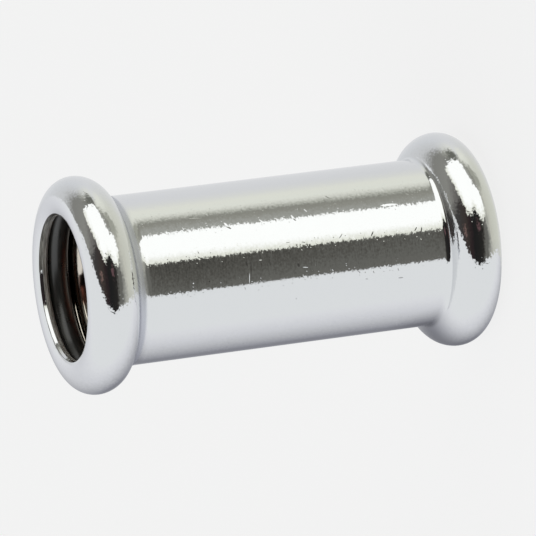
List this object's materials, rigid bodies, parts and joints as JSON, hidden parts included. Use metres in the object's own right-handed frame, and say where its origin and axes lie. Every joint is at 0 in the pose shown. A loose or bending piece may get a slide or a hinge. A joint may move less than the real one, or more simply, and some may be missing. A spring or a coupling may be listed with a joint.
{
  "type": "press fit coupling",
  "caption": "Straight press-fit pipe coupling: a chromed copper tube rolled out into a bead at each end, with a black sealing ring inside each bead.",
  "frame": {"origin": "centre of the lower mouth, in the plane of its foremost ring, which is where the part stands", "axes": "+Z along the bore, from the lower mouth to the upper one; X and Y are free, because the part is a solid of revolution"},
  "size_m": [0.0228, 0.0228, 0.0458],
  "materials": {
    "chromed_copper": "polished chrome outside, bare copper inside",
    "sealing_rubber": "smooth moulded"
  },
  "bodies": {
    "root": {"coupling_body": "chromed_copper", "lower_o_ring": "sealing_rubber", "upper_o_ring": "sealing_rubber"}
  },
  "joints": []
}
